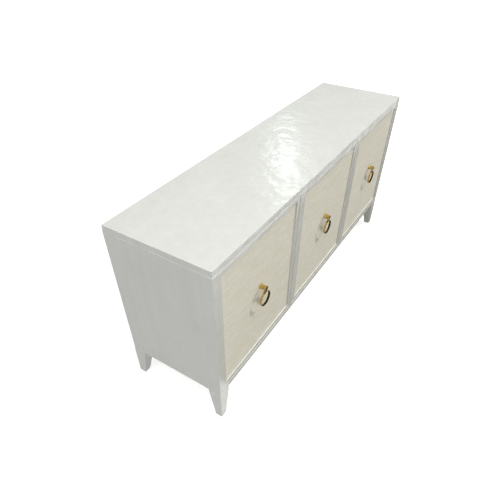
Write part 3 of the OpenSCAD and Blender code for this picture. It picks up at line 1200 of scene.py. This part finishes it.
@dataclass(frozen=True)
class Lamp:
    """A soft oblong lamp: where it hangs, what it faces, and how it is turned."""

    name: str
    place: tuple[float, float, float]
    aim: tuple[float, float, float]
    size: tuple[float, float]
    watts: float
    colour: str = WHITE
    turn_deg: float = 0.0

    def hang(self) -> None:
        """Adds the lamp to the scene."""
        light = bpy.data.lights.new(self.name, "AREA")
        light.shape = "RECTANGLE"
        light.size, light.size_y = self.size
        light.energy = self.watts
        light.color = linear(self.colour)[:3]
        lamp = bpy.data.objects.new(self.name, light)
        towards = (Vector(self.aim) - Vector(self.place)).to_track_quat("-Z", "Y")
        turned = towards.to_matrix() @ Matrix.Rotation(math.radians(self.turn_deg), 3, "Z")
        lamp.matrix_world = Matrix.Translation(self.place) @ turned.to_4x4()
        bpy.context.scene.collection.objects.link(lamp)


@dataclass
class Studio:
    """A pale floor, two mirrored cards, soft lamps, a white surround and the camera."""

    floor_size: float = 30.0
    paper_mm: float = 900
    paper_dull: str = "#CFCFCD"
    paper_pale: str = "#D4D4D2"
    floor_lift: float = 0.75
    floor_near: float = 1.3
    floor_far: float = 3.0
    fill_colour: str = "#F4F6FA"
    fill_strength: float = 0.06
    white_strength: float = 1.0
    ceiling_height: float = 3.6
    ceiling_strength: float = 0.45
    card_place: tuple[float, float, float] = (1.57, -0.3, 0.004)
    card_size: tuple[float, float] = (4.66, 1.04)
    card_colour: str = "#6B5C48"
    card_strength: float = 1.1
    camera_place: tuple[float, float, float] = (-1.6708, -0.8308, 1.6525)
    camera_turn_deg: tuple[float, float, float] = (46.092, 0.23, -57.189)
    sensor_mm: float = 36
    lens_mm: float = 30.031
    shift: tuple[float, float] = (0.0157, 0.0963)
    lamps: tuple[Lamp, ...] = (
        Lamp("key_lamp", (6.3, -4.06, 5.54), (0, -0.1, 0.5), (0.7, 0.7), 405, "#FFFEFC"),
        Lamp("strip_lamp", (3.25, 1.63, 2.7), (3.25, 1.63, 0), (1.9, 0.3), 7, "#EEFFFA", 33),
        Lamp("top_lamp", (-0.3, -0.4, 3.2), (-0.3, -0.4, 0), (5.0, 2.0), 69, "#FFFFFD"),
        Lamp("front_fill_lamp", (-1.5, -1.6, 1.3), (-0.8, -0.2, 0.5), (1.0, 1.0), 6.5),
        Lamp("side_lamp", (-4.4, 1.0, 2.3), (-0.91, 0, 0.6), (1.6, 1.6), 30),
        Lamp("rear_lamp", (1.2, 4.6, 1.1), (0, 0.25, 0.45), (2.0, 1.2), 55),
    )

    def build(self) -> None:
        """Builds the floor, the cards, the surround, the lamps and the camera."""
        self.add_floor()
        self.add_mirrored(
            "grey_ceiling",
            (0, 0, self.ceiling_height),
            (self.floor_size,) * 2,
            WHITE,
            self.ceiling_strength,
        )
        self.add_mirrored(
            "dark_card",
            self.card_place,
            self.card_size,
            self.card_colour,
            self.card_strength,
        )
        self.add_surround()
        for lamp in self.lamps:
            lamp.hang()
        self.add_camera()

    @staticmethod
    def seen_rays(tree: bpy.types.NodeTree) -> bpy.types.NodeSocket:
        """Gives one for a camera, glossy or transmitted ray, and nought for the rest.

        Args:
            tree: The tree that gets the nodes.

        Returns:
            The socket with that number.
        """
        path = add_node(tree, "LightPath")
        seen = path.outputs["Is Camera Ray"]
        for kind in ("Is Glossy Ray", "Is Transmission Ray"):
            both = add_node(tree, "Math", {0: seen, 1: path.outputs[kind]}, operation="MAXIMUM")
            seen = both.outputs[0]
        return seen

    @staticmethod
    def add_plane(
        name: str,
        middle: tuple[float, float, float],
        size: tuple[float, float],
        material: bpy.types.Material,
    ) -> bpy.types.Object:
        """Adds a level plane that isn't part of the sideboard.

        Args:
            name: The plane's name.
            middle: The plane's middle.
            size: Its width and depth.
            material: Its material.

        Returns:
            The plane.
        """
        shape = bmesh.new()
        bmesh.ops.create_grid(
            shape,
            x_segments=1,
            y_segments=1,
            size=0.5,
            matrix=Matrix.Translation(middle) @ Matrix.Diagonal((*size, 1, 1)),
        )
        mesh = bpy.data.meshes.new(name)
        shape.to_mesh(mesh)
        shape.free()
        plane = bpy.data.objects.new(name, mesh)
        bpy.context.scene.collection.objects.link(plane)
        mesh.materials.append(material)
        return plane

    def add_floor(self) -> None:
        """Adds a pale floor that keeps a soft shadow and otherwise meets the white."""
        material = blank_material("pale_seamless_paper")
        tree = material.node_tree
        fibre = add_node(
            tree,
            "TexNoise",
            {"Vector": cells(tree, (self.paper_mm,) * 3), "Scale": 1, "Detail": 2},
        )
        tone = add_node(
            tree,
            "ValToRGB",
            {"Fac": fibre.outputs["Fac"]},
            stops=[(0.4, self.paper_dull), (0.6, self.paper_pale)],
        )
        paper = add_node(tree, "BsdfDiffuse", {"Color": tone.outputs["Color"]})
        place = add_node(tree, "TexCoord")
        away = add_node(tree, "VectorMath", {0: place.outputs["Object"]}, operation="LENGTH")
        glow = add_node(
            tree,
            "MapRange",
            {
                "Value": away.outputs["Value"],
                1: self.floor_near,
                2: self.floor_far,
                3: self.floor_lift,
                4: 1.0,
            },
            interpolation_type="SMOOTHSTEP",
        )
        lift = add_node(
            tree, "Math", {0: self.seen_rays(tree), 1: glow.outputs[0]}, operation="MULTIPLY"
        )
        white = add_node(
            tree, "Emission", {"Color": linear(WHITE), "Strength": lift.outputs[0]}
        )
        both = add_node(tree, "AddShader", {0: paper.outputs[0], 1: white.outputs[0]})
        add_node(tree, "OutputMaterial", {"Surface": both.outputs[0]})
        self.add_plane("floor", (0, 0, 0), (self.floor_size,) * 2, material)

    def add_mirrored(
        self,
        name: str,
        middle: tuple[float, float, float],
        size: tuple[float, float],
        colour: str,
        strength: float,
    ) -> None:
        """Adds a level card that only glossy surfaces mirror.

        Args:
            name: The card's name.
            middle: The card's middle.
            size: Its width and depth.
            colour: Its colour.
            strength: How bright it looks, where one is white.
        """
        material = blank_material(name)
        tree = material.node_tree
        glow = add_node(tree, "Emission", {"Color": linear(colour), "Strength": strength})
        add_node(tree, "OutputMaterial", {"Surface": glow.outputs[0]})
        card = self.add_plane(name, middle, size, material)
        card.visible_camera = False
        card.visible_diffuse = False
        card.visible_shadow = False
        card.visible_transmission = False
        card.visible_volume_scatter = False

    def add_surround(self) -> None:
        """Adds the surround: white to the eye and in gloss, and a plain dim fill as light."""
        world = bpy.data.worlds.new("surround")
        bpy.context.scene.world = world
        world.use_nodes = True
        tree = world.node_tree
        tree.nodes.clear()
        fill = add_node(
            tree,
            "Background",
            {"Color": linear(self.fill_colour), "Strength": self.fill_strength},
        )
        white = add_node(
            tree, "Background", {"Color": linear(WHITE), "Strength": self.white_strength}
        )
        mixed = add_node(
            tree, "MixShader", {0: self.seen_rays(tree), 1: fill.outputs[0], 2: white.outputs[0]}
        )
        add_node(tree, "OutputWorld", {"Surface": mixed.outputs[0]})

    def add_camera(self) -> None:
        """Adds the camera, standing in front of the left end and looking down."""
        lens = bpy.data.cameras.new("camera")
        lens.sensor_width = self.sensor_mm
        lens.lens = self.lens_mm
        lens.shift_x, lens.shift_y = self.shift
        camera = bpy.data.objects.new("camera", lens)
        camera.location = self.camera_place
        camera.rotation_euler = [math.radians(a) for a in self.camera_turn_deg]
        bpy.context.scene.collection.objects.link(camera)
        bpy.context.scene.camera = camera


def main() -> None:
    """Builds the sideboard's pieces in order, then the studio round them."""
    logging.basicConfig(level=logging.INFO, format="%(name)s: %(message)s")
    Case().build()
    for bay in Bay:
        Door(bay).build()
        RingPull(bay).build()
    Fittings().build()
    bpy.context.scene.view_settings.view_transform = "Standard"
    Studio().build()


if __name__ == "__main__":
    main()
